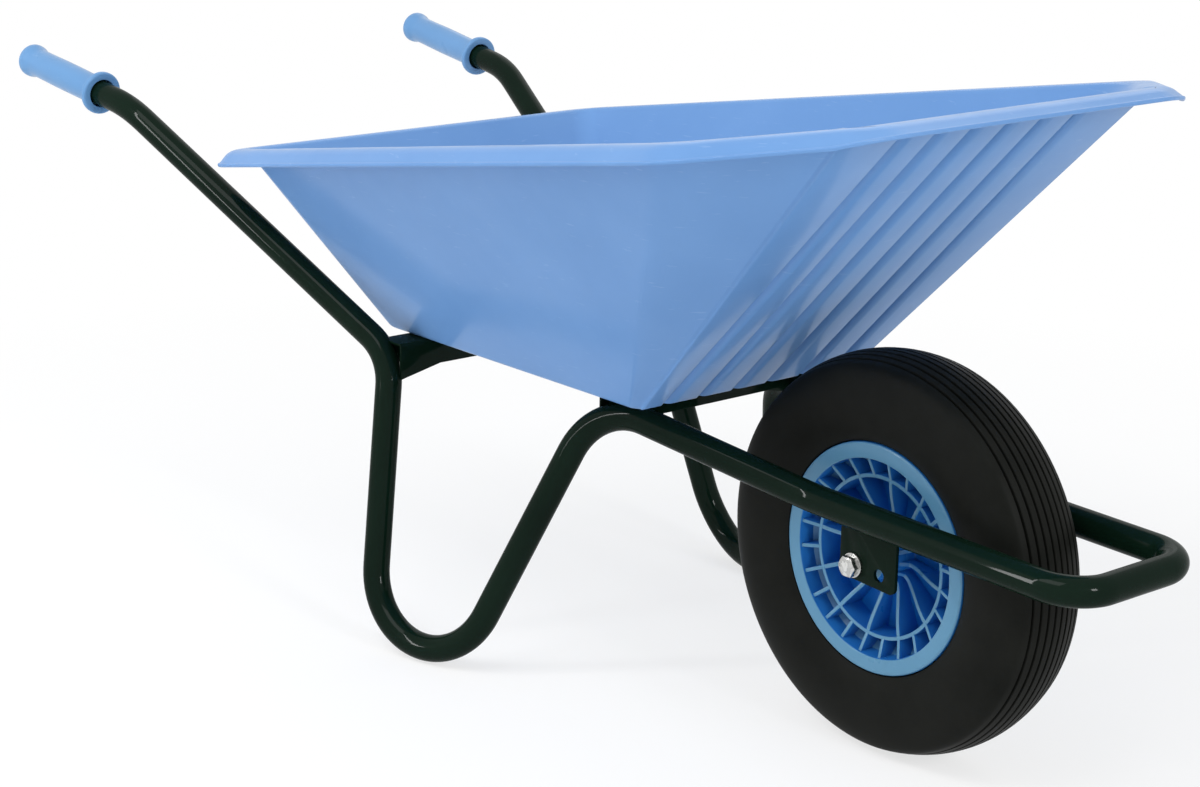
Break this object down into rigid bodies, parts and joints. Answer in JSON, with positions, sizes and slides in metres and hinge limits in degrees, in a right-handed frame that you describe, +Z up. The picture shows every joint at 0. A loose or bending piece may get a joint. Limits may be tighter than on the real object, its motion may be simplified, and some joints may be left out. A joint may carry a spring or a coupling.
{
  "type": "wheelbarrow",
  "caption": "Garden wheelbarrow with a moulded tray on a bent tube frame, push-on grips and a pneumatic wheel that turns on its axle.",
  "frame": {"origin": "on the ground under the middle of the overall length and width", "axes": "+X forward from the grips to the wheel, +Y to the user's left, +Z up"},
  "size_m": [1.4842, 0.676, 0.645],
  "materials": {
    "frame_paint": "glossy dark green paint",
    "tray_plastic": "satin light blue moulding",
    "grip_plastic": "glossy light blue moulding",
    "wheel_plastic": "glossy light blue moulding",
    "tyre_rubber": "matt black rubber",
    "tube_rubber": "matt black rubber",
    "zinc": "bright zinc plate",
    "bearing_plastic": "natural nylon",
    "valve_brass": "plain brass",
    "cap_plastic": "black moulding"
  },
  "bodies": {
    "chassis": {"frame_tube": "frame_paint", "rear_cross_brace": "frame_paint", "front_cross_brace": "frame_paint", "right_axle_bracket": "frame_paint", "left_axle_bracket": "frame_paint", "right_grip": "grip_plastic", "left_grip": "grip_plastic", "tray": "tray_plastic", "tray_bolts": "zinc", "tray_washers": "zinc", "tray_nuts": "zinc", "axle_bolt": "zinc", "axle_nut": "zinc", "axle_washers": "zinc", "right_axle_spacer": "zinc", "left_axle_spacer": "zinc"},
    "wheel": {"wheel_rim": "wheel_plastic", "tyre": "tyre_rubber", "inner_tube": "tube_rubber", "valve_stem": "valve_brass", "valve_cap": "cap_plastic", "right_hub_bush": "bearing_plastic", "left_hub_bush": "bearing_plastic"}
  },
  "joints": [
    {"name": "wheel_spin", "type": "hinge", "parent": "chassis", "child": "wheel", "pos_m": [0.44882, 0, 0.1975], "axis": [0, 1, 0], "continuous": true}
  ]
}
